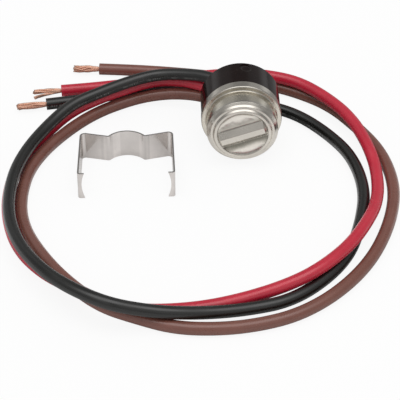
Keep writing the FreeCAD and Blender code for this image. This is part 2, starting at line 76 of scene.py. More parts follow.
RED_ROUTE = [
    (-0.0012, 0.0232, -0.0024), (-0.0085, 0.0283, -0.0024), (-0.0165, 0.034, -0.0039),
    (-0.0249, 0.0363, -0.0055), (-0.033, 0.0335, -0.0062), (-0.0417, 0.0292, -0.0067),
    (-0.0498, 0.024, -0.0076), (-0.056, 0.0172, -0.0094), (-0.0629, 0.0049, -0.00975),
    (-0.0658, -0.0076, -0.00975), (-0.0657, -0.0211, -0.00975), (-0.0621, -0.0347, -0.00975),
    (-0.0553, -0.0444, -0.00975), (-0.0475, -0.0506, -0.00975), (-0.0387, -0.0569, -0.00975),
    (-0.0298, -0.0601, -0.00975), (-0.0213, -0.0604, -0.00975), (-0.0113, -0.0592, -0.00975),
    (-0.0007, -0.056, -0.00975), (0.0089, -0.0538, -0.0078), (0.0165, -0.0505, -0.0062),
    (0.0248, -0.0423, -0.0062), (0.0305, -0.0339, -0.0062), (0.0364, -0.0201, -0.008),
    (0.0379, -0.0051, -0.0092), (0.0361, 0.0044, -0.0066), (0.0325, 0.017, -0.0062),
    (0.0263, 0.0272, -0.0062), (0.0186, 0.0355, -0.0062), (0.0097, 0.0392, -0.0062),
    (0.0007, 0.0405, -0.0062), (-0.0093, 0.0403, -0.0067), (-0.0187, 0.0426, -0.0095),
    (-0.0278, 0.0418, -0.00975), (-0.0373, 0.0401, -0.00975), (-0.0454, 0.0389, -0.00975),
    (-0.0529, 0.0381, -0.00975),
]
BROWN_ROUTE = [
    (-0.0012, 0.0232, -0.0061), (-0.0085, 0.0283, -0.0061), (-0.0171, 0.032, -0.0071),
    (-0.0255, 0.0333, -0.0086), (-0.0331, 0.032, -0.00975), (-0.0417, 0.0267, -0.00975),
    (-0.0489, 0.0195, -0.00975), (-0.0563, 0.0092, -0.00975), (-0.0611, -0.0017, -0.00975),
    (-0.0625, -0.0157, -0.00975), (-0.0604, -0.0282, -0.0091), (-0.0543, -0.0434, -0.0062),
    (-0.0476, -0.0531, -0.0062), (-0.0394, -0.0619, -0.0062), (-0.0304, -0.0631, -0.0094),
    (-0.0205, -0.0669, -0.00975), (-0.0095, -0.0677, -0.00975), (0.0005, -0.0665, -0.00975),
    (0.0106, -0.0633, -0.00975), (0.0203, -0.0566, -0.00975), (0.0291, -0.0469, -0.00975),
    (0.0354, -0.0361, -0.00975), (0.0404, -0.0222, -0.00975), (0.0422, -0.0093, -0.00975),
    (0.0402, 0.0048, -0.00975), (0.035, 0.016, -0.00975), (0.0278, 0.0277, -0.00975),
    (0.0185, 0.035, -0.00975), (0.0087, 0.0398, -0.00975), (-0.0017, 0.0431, -0.00975),
    (-0.0122, 0.0454, -0.00975), (-0.0226, 0.0472, -0.00975), (-0.0326, 0.0485, -0.00975),
    (-0.0416, 0.0493, -0.00975),
]
ROUTES = {"black": BLACK_ROUTE, "red": RED_ROUTE, "brown": BROWN_ROUTE}
LEAD_LENGTHS = {"black": 0.376, "red": 0.3795, "brown": 0.3765}

# Colours of the faint dashes on the insulation
MARK_TINTS = {"black": (0.27, 0.27, 0.26), "red": (0.6, 0.06, 0.09), "brown": (0.29, 0.15, 0.12)}

# How each bared end lies: lean of its tip in metres, whole turns of lay, how wide the bundle is from the
# insulation to its tip, how far a part of it stands off at the tip in millimetres, and its relative length
BARED_ENDS = {
    "black": {"lean": -0.0003, "turns": 0.3, "widths": (0.62, 0.85, 1.05, 1.0, 0.85), "parted": 0.0,
              "longer": 1.05, "seed": 3},
    "red": {"lean": -0.0001, "turns": 0.26, "widths": (0.5, 0.75, 0.88, 0.78, 0.62), "parted": 2.5,
            "longer": 1.02, "seed": 8},
    "brown": {"lean": 0.0003, "turns": 0.32, "widths": (0.6, 0.85, 1.12, 1.02, 0.8), "parted": 0.0,
              "longer": 0.95, "seed": 5},
}


# Strands of a bared end: layers and counts, points along, sides around, and pitch and lift in strand radii
STRAND_LAYERS = [(0, 1), (1, 6), (2, 12)]
STRAND_POINTS = 24
STRAND_SIDES = 8
STRAND_PITCH = 1.9
STRAND_LIFT = 1.05

# How unevenly the strands lie, how rare and wide the stray ones are, and how the bundle leans and parts
TURN_SCATTER = 0.12
REACH_SCATTER = (0.94, 1.04)
LENGTH_SCATTER = (0.93, 1.0)
WAVER_TURN = 0.12
WAVER_RATE = 7
STRAY_RARITY = 4
STRAY_SPREAD = 0.45
PARTED_SIDE = 0.6
LEAN_CURVE = 1.6
PARTED_CURVE = 2.5
TUCKED_IN = 0.5 * MM
NEAR_TIP = 0.9999

WHITE = (1.0, 1.0, 1.0, 1.0)


class Tree:
    """Adds nodes to a shader tree and links them."""

    def __init__(self, tree):
        self.tree = tree

    def add(self, kind, **settings):
        """A new node with its settings."""
        node = self.tree.nodes.new(kind)
        for name, value in settings.items():
            setattr(node, name, value)
        return node

    def link(self, source, target):
        self.tree.links.new(source, target)

    def feed(self, target, value):
        """Gives an input socket either another socket's output or a plain value."""
        if isinstance(value, bpy.types.NodeSocket):
            self.link(value, target)
        else:
            target.default_value = value

    def math(self, operation, *values, clamp=False):
        """One step of arithmetic on sockets and plain numbers."""
        node = self.add("ShaderNodeMath", operation=operation, use_clamp=clamp)
        for socket, value in zip(node.inputs, values):
            self.feed(socket, value)
        return node.outputs[0]

    def vector(self, operation, *values):
        """One step on vectors, which gives a plain number for a length or a distance."""
        node = self.add("ShaderNodeVectorMath", operation=operation)
        for socket, value in zip(node.inputs, values):
            self.feed(socket, value)
        return node.outputs[1] if operation in ("LENGTH", "DISTANCE") else node.outputs[0]

    def times(self, first, *others):
        """The product of two or more values."""
        for other in others:
            first = self.math("MULTIPLY", first, other)
        return first

    def inverse(self, mask):
        """What a mask leaves of 1."""
        return self.math("SUBTRACT", 1.0, mask)

    def swing(self, value, amount):
        """A change to either side, of this size in all, from a value between 0 and 1."""
        return self.times(self.math("SUBTRACT", value, 0.5), amount)

    def split(self, vector):
        node = self.add("ShaderNodeSeparateXYZ")
        self.feed(node.inputs[0], vector)
        return node.outputs

    def join(self, x, y, z):
        node = self.add("ShaderNodeCombineXYZ")
        for socket, value in zip(node.inputs, (x, y, z)):
            self.feed(socket, value)
        return node.outputs[0]

    def grey(self, level):
        """A colour or vector with the same value three times."""
        return self.join(level, level, level)

    def noise(self, vector, scale, detail=2.0, roughness=0.5):
        """Cloudy noise between 0 and 1, mostly near the middle."""
        node = self.add("ShaderNodeTexNoise")
        self.feed(node.inputs["Vector"], vector)
        self.feed(node.inputs["Scale"], scale)
        node.inputs["Detail"].default_value = detail
        node.inputs["Roughness"].default_value = roughness
        return node.outputs["Fac"]

    def spread(self, value, low, high, to_low=0.0, to_high=1.0, smooth=False):
        """A value carried from one range to another and held at its ends."""
        node = self.add("ShaderNodeMapRange")
        if smooth:
            node.interpolation_type = "SMOOTHSTEP"
        for name, number in zip(("Value", "From Min", "From Max", "To Min", "To Max"),
                                (value, low, high, to_low, to_high)):
            self.feed(node.inputs[name], number)
        return node.outputs["Result"]

    def fade(self, value, low, high, smooth=False):
        """A mask that falls from 1 to 0 over a range."""
        return self.spread(value, low, high, 1.0, 0.0, smooth)

    def blend(self, share, first, second, kind="MIX"):
        """Two colours mixed by a share, which the mix node takes at sockets 6 and 7 and gives at 2."""
        node = self.add("ShaderNodeMix", data_type="RGBA", blend_type=kind)
        self.feed(node.inputs["Factor"], share)
        self.feed(node.inputs[6], first)
        self.feed(node.inputs[7], second)
        return node.outputs[2]

    def multiplied(self, first, second):
        """One colour darkened or tinted by another."""
        return self.blend(1.0, first, second, "MULTIPLY")

    def place(self):
        """The point on the surface in the part's own frame, in metres."""
        return self.add("ShaderNodeTexCoord").outputs["Object"]


def colour(value):
    """A property's colour with full alpha, as a shader socket takes it."""
    return (value[0], value[1], value[2], 1.0)


def effect_group(name, inputs, outputs):
    """An empty shader node group with named sockets, its tree helper, and its two end nodes."""
    group = bpy.data.node_groups.new(name, "ShaderNodeTree")
    for label, kind, default in inputs:
        socket = group.interface.new_socket(label, in_out="INPUT", socket_type=kind)
        if default is not None:
            socket.default_value = default
    for label, kind in outputs:
        group.interface.new_socket(label, in_out="OUTPUT", socket_type=kind)
    tree = Tree(group)
    return group, tree, tree.add("NodeGroupInput").outputs, tree.add("NodeGroupOutput").inputs


# Shared effects. A pair is where a mask starts to show and where it is complete
FLOAT = "NodeSocketFloat"
CLOUD_EDGE = (0.3, 0.7)
FINE_GRAIN_SHARE = 0.6
COARSE_GRAIN_SCALE = 0.3
SCUFF_STRETCH = (1.0, 3.0, 9.0)
SCUFF_WANDER = (0.004, 0.004, 0.004)
SCUFF_WANDER_SCALE = 0.6
SCUFF_WIDTH = 0.012
SCUFF_PATCH_EDGE = (0.52, 0.62)


def build_tone_group():
    """Slow variation of colour and polish over a surface."""
    group, tree, given, result = effect_group(
        "Surface tone",
        [("Colour", "NodeSocketColor", None), ("Scale", FLOAT, 150.0),
         ("Amount", FLOAT, 0.1), ("Roughness", FLOAT, 0.3),
         ("Polish change", FLOAT, 0.1)],
        [("Colour", "NodeSocketColor"), ("Roughness", FLOAT)])
    cloud = tree.noise(tree.place(), given["Scale"], detail=4.0, roughness=0.6)
    mask = tree.spread(cloud, *CLOUD_EDGE)
    level = tree.spread(mask, 0.0, 1.0, tree.inverse(given["Amount"]), 1.0)
    tree.link(tree.multiplied(given["Colour"], tree.grey(level)), result["Colour"])
    change = tree.swing(mask, given["Polish change"])
    tree.link(tree.math("ADD", given["Roughness"], change, clamp=True), result["Roughness"])
    return group


def build_grain_group():
    """Fine parallel lines left by rolling or brushing, drawn out along one direction."""
    group, tree, given, result = effect_group(
        "Drawn grain",
        [("Stretch", "NodeSocketVector", (1.0, 1.0, 1.0)), ("Scale", FLOAT, 4000.0),
         ("Turn", FLOAT, 0.0)],
        [("Height", FLOAT)])
    turned = tree.add("ShaderNodeVectorRotate", rotation_type="Y_AXIS")
    tree.feed(turned.inputs["Vector"], tree.place())
    tree.feed(turned.inputs["Angle"], given["Turn"])
    drawn = tree.vector("MULTIPLY", turned.outputs[0], given["Stretch"])
    fine = tree.noise(drawn, given["Scale"], detail=3.0, roughness=0.7)
    coarse = tree.noise(drawn, tree.times(given["Scale"], COARSE_GRAIN_SCALE), detail=1.0)
    both = tree.math("ADD", tree.times(fine, FINE_GRAIN_SHARE), tree.times(coarse, 1 - FINE_GRAIN_SHARE))
    tree.link(both, result["Height"])
    return group


def build_spun_group():
    """Fine rings about the switch axis, as pressing and turning leave them on a round cup."""
    group, tree, given, result = effect_group(
        "Spun rings",
        [("Scale", FLOAT, 6000.0)],
        [("Height", FLOAT), ("Radius", FLOAT), ("Depth", FLOAT)])
    x, y, z = tree.split(tree.place())
    radius = tree.vector("LENGTH", tree.join(x, 0.0, z))
    rings = tree.join(radius, y, 0.0)
    tree.link(tree.noise(rings, given["Scale"], detail=2.0, roughness=0.6), result["Height"])
    tree.link(radius, result["Radius"])
    tree.link(y, result["Depth"])
    return group


def build_scuff_group():
    """Short thin handling marks, sparse and in several directions."""
    group, tree, given, result = effect_group(
        "Handling marks",
        [("Scale", FLOAT, 350.0), ("Amount", FLOAT, 0.5)],
        [("Mask", FLOAT)])
    wander = tree.noise(tree.place(), tree.times(given["Scale"], SCUFF_WANDER_SCALE), detail=1.0)
    bent = tree.vector("ADD", tree.vector("MULTIPLY", tree.place(), SCUFF_STRETCH),
                       tree.vector("MULTIPLY", tree.grey(wander), SCUFF_WANDER))
    cells = tree.add("ShaderNodeTexVoronoi", feature="DISTANCE_TO_EDGE")
    tree.feed(cells.inputs["Vector"], bent)
    tree.feed(cells.inputs["Scale"], given["Scale"])
    thin = tree.fade(cells.outputs["Distance"], 0.0, SCUFF_WIDTH)
    patches = tree.spread(tree.noise(tree.place(), given["Scale"], detail=0.0), *SCUFF_PATCH_EDGE)
    tree.link(tree.times(thin, patches, given["Amount"]), result["Mask"])
    return group


EFFECT_BUILDERS = {"tone": build_tone_group, "grain": build_grain_group, "spun": build_spun_group,
                   "scuffs": build_scuff_group}
EFFECTS = {}


def effect(tree, name, **values):
    """Places a shared effect in a material, with its own values, and gives its outputs."""
    if name not in EFFECTS:
        EFFECTS[name] = EFFECT_BUILDERS[name]()
    node = tree.add("ShaderNodeGroup", node_tree=EFFECTS[name])
    for label, value in values.items():
        tree.feed(node.inputs[label.replace("_", " ")], value)
    return node.outputs


def start_material(name, **shader_values):
    """A material with one Principled shader, whose plain values are set on its own sockets."""
    material = bpy.data.materials.new(name)
    material.use_nodes = True
    tree = Tree(material.node_tree)
    shader = material.node_tree.nodes["Principled BSDF"]
    for label, value in shader_values.items():
        shader.inputs[label.replace("_", " ")].default_value = value
    return material, tree, shader.inputs


def bump(tree, height, strength, distance, over=None):
    """A small relief from a height that runs from 0 to 1, laid over an earlier relief if one is given."""
    node = tree.add("ShaderNodeBump")
    if over is not None:
        tree.link(over, node.inputs["Normal"])
    node.inputs["Strength"].default_value = strength
    node.inputs["Distance"].default_value = distance
    tree.link(height, node.inputs["Height"])
    return node.outputs["Normal"]


def dress(node_name, material):
    """Gives a piece of the frame its finish."""
    node = NODES[node_name]
    node.data.materials.clear()
    node.data.materials.append(material)


def use_tone(tree, shader, tone):
    """Takes a finish's colour and polish straight from its surface tone."""
    tree.link(tone["Colour"], shader["Base Color"])
    tree.link(tone["Roughness"], shader["Roughness"])


def dulled(tree, roughness, mask, amount):
    """A roughness that rises by an amount where a mask shows."""
    return tree.math("ADD", roughness, tree.times(mask, amount), clamp=True)


# Painted shade and some soiling beside the rib: its width from the foot and its level there, above and below,
# wander and warmth
SHADE_AND_SOIL_ABOVE = 1.6 * MM
SHADE_AND_SOIL_ABOVE_LEVEL = 0.75
SHADE_AND_SOIL_BELOW = 2.4 * MM
SHADE_AND_SOIL_BELOW_LEVEL = 0.3
EDGE_WANDER = 1.6 * MM
SHADE_AND_SOIL_WARMTH = 1.06

# Painted reflections, bright crescents on the face: start and full width from the rib's foot, end in shares
# of the face's radius, and level
CRESCENT_START = 0.7 * MM
CRESCENT_FULL = 1.8 * MM
CRESCENT_END = (0.84, 0.96)
CRESCENT_SHEEN_LEVEL = 1.24

# Painted warm reflection on the barrel: depths where it starts and ends, and its tint
BARREL_START = (3.4 * MM, 4.2 * MM)
BARREL_END = (7.6 * MM, 8.6 * MM)
BARREL_REFLECTION_TINT = (1.1, 1.09, 1.03, 1.0)

# Relief in millimetres, how wide the rib's foot runs out, and soft edges of the masks
DISH_HEIGHT = 0.4
FOOT_HEIGHT = 0.3
WAVE_HEIGHT = 0.2
FOOT_WIDTH = 2.3 * MM
FACE_BLUR = 0.2 * MM
RIB_BLUR = 0.4 * MM


def beside_rib(tree, settings):
    """Distance from the rib's middle line, positive above it: a straight one, and one that wanders."""
    x, _, z = tree.split(tree.place())
    straight = tree.math("SUBTRACT", tree.times(z, cos(settings.rib_turn)),
                         tree.times(x, sin(settings.rib_turn)))
    wander = tree.noise(tree.place(), scale=260.0, detail=2.0)
    return straight, tree.math("ADD", straight, tree.swing(wander, EDGE_WANDER))


def face_shade_soil_and_sheen(tree, foot, straight, wandering, on_face, share):
    """How light the cup's metal is: painted shade and soiling beside the rib, and painted reflections
    brighter on the crescents of the face.
    """
    # Painted shade with some soiling: darker just above and below the rib's foot.
    above = tree.spread(straight, foot, foot + SHADE_AND_SOIL_ABOVE, SHADE_AND_SOIL_ABOVE_LEVEL, 1.0, smooth=True)
    below = tree.spread(wandering, -foot - SHADE_AND_SOIL_BELOW, -foot, 1.0, SHADE_AND_SOIL_BELOW_LEVEL, smooth=True)
    on_rib = tree.fade(tree.math("ABSOLUTE", straight), foot - RIB_BLUR, foot)
    upper_half = tree.math("GREATER_THAN", straight, 0.0)
    beside = tree.math("ADD", tree.times(above, upper_half), tree.times(below, tree.inverse(upper_half)))
    shade_and_soil_level = tree.math("MAXIMUM", tree.math("MAXIMUM", beside, on_rib), tree.inverse(on_face))
    # Painted reflection: brighter crescents on the face beside the rib.
    painted_sheen = tree.times(tree.spread(tree.math("ABSOLUTE", wandering), foot + CRESCENT_START,
                                      foot + CRESCENT_FULL, smooth=True),
                          tree.fade(share, *CRESCENT_END, smooth=True))
    return tree.times(shade_and_soil_level, tree.spread(painted_sheen, 0.0, 1.0, 1.0, CRESCENT_SHEEN_LEVEL))


def pressed_relief(tree, foot, wandering, on_face, share):
    """Relief of the pressed sheet: a dished face, feet that run out beside the rib, and slow waves."""
    dish = tree.times(tree.math("POWER", share, 2.0), DISH_HEIGHT)
    rise = tree.spread(tree.math("ABSOLUTE", wandering), foot, foot + FOOT_WIDTH, FOOT_HEIGHT, 0.0,
                       smooth=True)
    shape = tree.times(tree.math("ADD", dish, rise), on_face)
    waves = tree.times(tree.noise(tree.place(), scale=190.0, detail=1.0), WAVE_HEIGHT)
    return bump(tree, tree.math("ADD", shape, waves), strength=1.0, distance=MM)


def cup_material(settings):
    """Satin pressed metal: spun rings on the round of the cup, straight grain on its ribbed face, painted
    shade and soiling beside the rib, and painted reflections.
    """
    material, tree, shader = start_material("cup_satin_metal", Metallic=1.0)
    spun = effect(tree, "spun", Scale=5200.0)
    grain = effect(tree, "grain", Stretch=(1.0, 1.0, 0.08), Scale=3600.0, Turn=settings.rib_turn)
    on_face = tree.fade(spun["Radius"], settings.face_radius - FACE_BLUR, settings.face_radius)
    height = tree.math("ADD", tree.times(grain["Height"], on_face),
                       tree.times(spun["Height"], tree.inverse(on_face)))
    tone = effect(tree, "tone", Colour=colour(settings.cup_colour), Scale=210.0, Amount=0.16,
                  Roughness=settings.cup_roughness, Polish_change=0.14)
    scuffs = effect(tree, "scuffs", Scale=300.0, Amount=0.5)
    foot = settings.rib_foot
    straight, wandering = beside_rib(tree, settings)
    share = tree.math("DIVIDE", spun["Radius"], settings.face_radius)
    level = face_shade_soil_and_sheen(tree, foot, straight, wandering, on_face, share)
    # Painted shade, soiling and painted reflections as one level, warmer where darker.
    painted_shade_and_soil = tree.join(level, level, tree.math("POWER", level, SHADE_AND_SOIL_WARMTH))
    # Painted warm reflection: a brighter, warmer band round the barrel.
    on_barrel = tree.times(tree.spread(spun["Depth"], *BARREL_START), tree.fade(spun["Depth"], *BARREL_END))
    painted_warm_reflection = tree.blend(on_barrel, WHITE, BARREL_REFLECTION_TINT)
    shaded_and_soiled = tree.multiplied(tone["Colour"], painted_shade_and_soil)
    tree.link(tree.multiplied(shaded_and_soiled, painted_warm_reflection), shader["Base Color"])
    rough = dulled(tree, tone["Roughness"], scuffs["Mask"], amount=0.15)
    lines = tree.swing(height, amount=0.25)
    tree.link(tree.math("ADD", rough, lines, clamp=True), shader["Roughness"])
    formed = pressed_relief(tree, foot, wandering, on_face, share)
    tree.link(bump(tree, height, strength=0.35, distance=0.02 * MM, over=formed), shader["Normal"])
    return material


# Mould mark: radius of its rim, half widths of the rim's line, how clearly it shows, and worn places
MARK_RIM = 1.35 * MM
MARK_LINE = (0.08 * MM, 0.28 * MM)
MARK_STRENGTH = 0.5
WORN_TINT = (0.035, 0.032, 0.03, 1.0)


def housing_material(settings):
    """Glossy black moulding with a faint ripple, a few dull handling marks and the rim of a mould mark."""
    material, tree, shader = start_material("housing_black_gloss", Specular_IOR_Level=0.25)
    tone = effect(tree, "tone", Colour=colour(settings.housing_colour), Scale=260.0, Amount=0.35,
                  Roughness=settings.housing_roughness, Polish_change=0.08)
    scuffs = effect(tree, "scuffs", Scale=420.0, Amount=0.8)
    x, y, z = tree.split(tree.place())
    off_mark = tree.vector("DISTANCE", tree.join(x, y, 0.0), tuple(settings.mould_mark))
    off_rim = tree.math("ABSOLUTE", tree.math("SUBTRACT", off_mark, MARK_RIM))
    rim = tree.times(tree.fade(off_rim, *MARK_LINE, smooth=True), tree.math("GREATER_THAN", z, 0.0))
    worn = tree.math("MAXIMUM", scuffs["Mask"], tree.times(rim, MARK_STRENGTH))
    tree.link(tree.blend(worn, tone["Colour"], WORN_TINT), shader["Base Color"])
    rough = dulled(tree, tone["Roughness"], scuffs["Mask"], amount=0.2)
    tree.link(dulled(tree, rough, rim, amount=0.3), shader["Roughness"])
    ripple = tree.noise(tree.place(), scale=320.0, detail=1.0)
    tree.link(bump(tree, ripple, strength=0.12, distance=0.05 * MM), shader["Normal"])
    return material


def potting_material(settings):
    """Cast filling: dark, with a slightly uneven skin and small pits."""
    material, tree, shader = start_material("potting_cast", Specular_IOR_Level=0.4)
    tone = effect(tree, "tone", Colour=colour(settings.potting_colour), Scale=500.0, Amount=0.4,
                  Roughness=0.42, Polish_change=0.25)
    use_tone(tree, shader, tone)
    skin = tree.noise(tree.place(), scale=900.0, detail=3.0)
    tree.link(bump(tree, skin, strength=0.4, distance=0.06 * MM), shader["Normal"])
    return material


# Faint dashes and runs of dashes: rates a metre and edges, and half the row's width around the lead
DASH_RATE = 2100.0
DASH_EDGE = (0.46, 0.56)
RUN_RATE = 190.0
RUN_EDGE = (0.45, 0.5)
RUN_SHIFT = 7.0
ROW_EDGE = (0.014, 0.028)

# Draw lines, around the insulation and along a metre of it
LINES_AROUND = 60.0
LINES_ALONG = 300.0


def insulation_material(name, tint, mark_tint, settings):
    """Extruded insulation: a satin skin with fine draw lines, and a faint row of plain pale dashes."""
    material, tree, shader = start_material(name + "_insulation_satin", Specular_IOR_Level=0.8)
    along, around = tree.split(tree.add("ShaderNodeTexCoord").outputs["UV"])[:2]
    tone = effect(tree, "tone", Colour=colour(tint), Scale=120.0, Amount=0.14,
                  Roughness=settings.lead_roughness, Polish_change=0.16)
    metres = tree.times(along, LEAD_LENGTHS[name])
    beat = tree.noise(tree.join(tree.times(metres, DASH_RATE), 0.0, 0.0), scale=1.0, detail=0.0)
    runs = tree.noise(tree.join(tree.times(metres, RUN_RATE), RUN_SHIFT, 0.0), scale=1.0, detail=0.0)
    dashes = tree.times(tree.spread(beat, *DASH_EDGE), tree.spread(runs, *RUN_EDGE))
    turned = tree.math("FRACT", tree.math("SUBTRACT", around, settings.mark_side - 0.5))
    across = tree.math("ABSOLUTE", tree.math("SUBTRACT", turned, 0.5))
    marks = tree.times(dashes, tree.fade(across, *ROW_EDGE), settings.mark_strength)
    tree.link(tree.blend(marks, tone["Colour"], colour(mark_tint)), shader["Base Color"])
    tree.link(tone["Roughness"], shader["Roughness"])
    drawn = tree.join(tree.times(around, LINES_AROUND), tree.times(metres, LINES_ALONG), 0.0)
    lines = tree.noise(drawn, scale=1.0, detail=2.0)
    tree.link(bump(tree, lines, strength=0.25, distance=0.03 * MM), shader["Normal"])
    return material


def copper_material(settings):
    """Bare drawn copper wire, bright with a few duller patches."""
    material, tree, shader = start_material("copper_strands", Metallic=1.0)
    tone = effect(tree, "tone", Colour=colour(settings.copper_colour), Scale=700.0, Amount=0.16,
                  Roughness=0.27, Polish_change=0.12)
    use_tone(tree, shader, tone)
    grain = effect(tree, "grain", Stretch=(0.1, 1.0, 1.0), Scale=5000.0)
    tree.link(bump(tree, grain["Height"], strength=0.12, distance=0.01 * MM), shader["Normal"])
    return material


# Painted reflections, light and dark bands across the clip: millimetres from its middle, and how light the
# metal is there
CLIP_HALF = 14.0
CLIP_REFLECTION_BANDS = [(-14, 0.86), (-12.5, 0.9), (-7.6, 0.92), (-7.0, 0.8), (-6.2, 0.93), (-5.6, 0.82), (-4.0, 0.9),
              (-3.8, 1.0), (-2.0, 1.0), (-1.7, 0.87), (3.4, 0.86), (3.9, 0.96), (4.6, 0.84), (5.2, 0.7),
              (5.9, 0.82), (6.3, 0.74), (6.8, 0.92), (12.5, 0.95), (14, 0.86)]
CLIP_REFLECTION_TINT = (1.0, 0.985, 0.975)
CLIP_WAVER = 0.4 * MM


def painted_clip_reflections(tree, middle):
    """Painted reflections as bands of colour, which run across the clip and have slightly wavering edges."""
    streaks = tree.noise(tree.vector("MULTIPLY", tree.place(), (1.0, 1.0, 0.02)), scale=1400.0, detail=1.0)
    wavering = tree.math("ADD", tree.split(tree.place())[0], tree.swing(streaks, CLIP_WAVER))
    ramp = tree.add("ShaderNodeValToRGB")
    stops = [(offset / (2 * CLIP_HALF) + 0.5, shade) for offset, shade in CLIP_REFLECTION_BANDS]
    for place, _ in stops[1:-1]:
        ramp.color_ramp.elements.new(place)
    for element, (place, shade) in zip(ramp.color_ramp.elements, stops):
        element.position = place
        element.color = (*(shade * part for part in CLIP_REFLECTION_TINT), 1.0)
    half = CLIP_HALF * MM
    tree.link(tree.spread(wavering, middle - half, middle + half), ramp.inputs["Fac"])
    return ramp.outputs["Color"]


def clip_material(settings):
    """Rolled spring steel: nearly mirror bright, with fine rolling lines along the strip and painted
    reflection bands across it.
    """
    material, tree, shader = start_material("clip_spring_steel", Metallic=1.0)
    grain = effect(tree, "grain", Stretch=(0.06, 0.06, 1.0), Scale=4200.0)
    tone = effect(tree, "tone", Colour=colour(settings.clip_colour), Scale=260.0, Amount=0.12,
                  Roughness=settings.clip_roughness, Polish_change=0.08)
    scuffs = effect(tree, "scuffs", Scale=260.0, Amount=0.5)
    # Painted reflections: light and dark bands across the clip.
    painted_reflections = painted_clip_reflections(tree, settings.clip_middle)
    tree.link(tree.multiplied(tone["Colour"], painted_reflections), shader["Base Color"])
    lined = tree.math("ADD", tone["Roughness"], tree.swing(grain["Height"], amount=0.2))
    tree.link(dulled(tree, lined, scuffs["Mask"], amount=0.1), shader["Roughness"])
    tree.link(bump(tree, grain["Height"], strength=0.25, distance=0.012 * MM), shader["Normal"])
    return material


def inner_material(name, tint, metallic, roughness, relief):
    """Finish of a piece inside the sealed case: slow tone and a fine relief of its own scale."""
    material, tree, shader = start_material(name, Metallic=metallic)
    tone = effect(tree, "tone", Colour=colour(tint), Scale=400.0, Amount=0.18, Roughness=roughness,
                  Polish_change=0.12)
    use_tone(tree, shader, tone)
    fine = tree.noise(tree.place(), scale=relief, detail=2.0)
    tree.link(bump(tree, fine, strength=0.25, distance=0.02 * MM), shader["Normal"])
    return material


def add_object(name, data):
    """Links a new object with the given data to the scene."""
    thing = bpy.data.objects.new(name, data)
    bpy.context.scene.collection.objects.link(thing)
    return thing


def lead_curve(name, route, diameter):
    """A lead as one smooth curve along its route, with its insulation's thickness."""
    data = bpy.data.curves.new(name, "CURVE")
    data.dimensions = "3D"
    data.resolution_u = 12
    data.bevel_depth = diameter / 2
    data.bevel_resolution = 8
    data.use_fill_caps = True
    line = data.splines.new("NURBS")
    line.points.add(len(route) - 1)
    for point, place in zip(line.points, route):
        point.co = (*place, 1.0)
    line.order_u = 3
    line.use_endpoint_u = True
    line.use_smooth = True
    return add_object(name, data)


def tube(points, radius, sides, vertices, faces):
    """Adds a closed round tube through the points to the vertex and face lists."""
    first = len(vertices)
    for index, point in enumerate(points):
        before = points[max(index - 1, 0)]
        after = points[min(index + 1, len(points) - 1)]
        along = (after - before).normalized()
        across = along.cross(Vector((0, 0, 1)))
        across.normalize()
        upward = across.cross(along)
        for side in range(sides):
            angle = 2 * pi * side / sides
            vertices.append(point + (across * cos(angle) + upward * sin(angle)) * radius)
    for ring in range(len(points) - 1):
        start = first + ring * sides
        for side in range(sides):
            beside = (side + 1) % sides
            faces.append((start + side, start + beside, start + sides + beside, start + sides + side))
    faces.append(tuple(first + side for side in reversed(range(sides))))
    last = first + (len(points) - 1) * sides
    faces.append(tuple(last + side for side in range(sides)))


def width_at(widths, share):
    """The width between evenly spaced widths, at a share of the way along them."""
    place = min(share, NEAR_TIP) * (len(widths) - 1)
    index = int(place)
    part = place - index
    part = part * part * (3 - 2 * part)
    return widths[index] * (1 - part) + widths[index + 1] * part


def bared_end(name, route, length, settings):
    """The twisted, slightly frayed copper strands at the end of a lead."""
    form = BARED_ENDS[name]
    lay = 2 * pi * form["turns"]
    chance = random.Random(form["seed"])
    end = Vector(route[-1])
    along = (end - Vector(route[-2])).normalized()
    side = Vector((-along.y, along.x, 0)).normalized()
    up = Vector((0, 0, 1))
    strand = settings.strand_radius
    floor = TABLE + strand * STRAND_LIFT
    vertices = []
    faces = []
    for layer, count in STRAND_LAYERS:
        for number in range(count):
            start = 2 * pi * number / count + chance.uniform(-TURN_SCATTER, TURN_SCATTER)
            reach = layer * strand * STRAND_PITCH * chance.uniform(*REACH_SCATTER)
            stray = chance.uniform(0.0, 1.0) ** STRAY_RARITY
            shorter = chance.uniform(*LENGTH_SCATTER)
            waver = chance.uniform(0.0, 2 * pi)
            parted = form["parted"] if layer and cos(start + lay) > PARTED_SIDE else 0.0
            points = []
            for step in range(STRAND_POINTS):
                share = step / (STRAND_POINTS - 1)
                angle = start + lay * share + WAVER_TURN * sin(waver + WAVER_RATE * share)
                spread = reach * width_at(form["widths"], share) * (1 + STRAY_SPREAD * stray * share ** 2)
                sideways = (cos(angle) * spread + form["lean"] * share ** LEAN_CURVE
                            + parted * MM * share ** PARTED_CURVE)
                reached = length * form["longer"] * shorter * share - TUCKED_IN
                place = end + along * reached + side * sideways + up * (sin(angle) * spread)
                place.z = max(place.z, floor)
                points.append(place)
            tube(points, strand, STRAND_SIDES, vertices, faces)
    mesh = bpy.data.meshes.new(name + "_strands")
    mesh.from_pydata([tuple(v) for v in vertices], [], faces)
    mesh.polygons.foreach_set("use_smooth", [len(f) == 4 for f in faces])
    mesh.update()
    return add_object(name + "_strands", mesh)


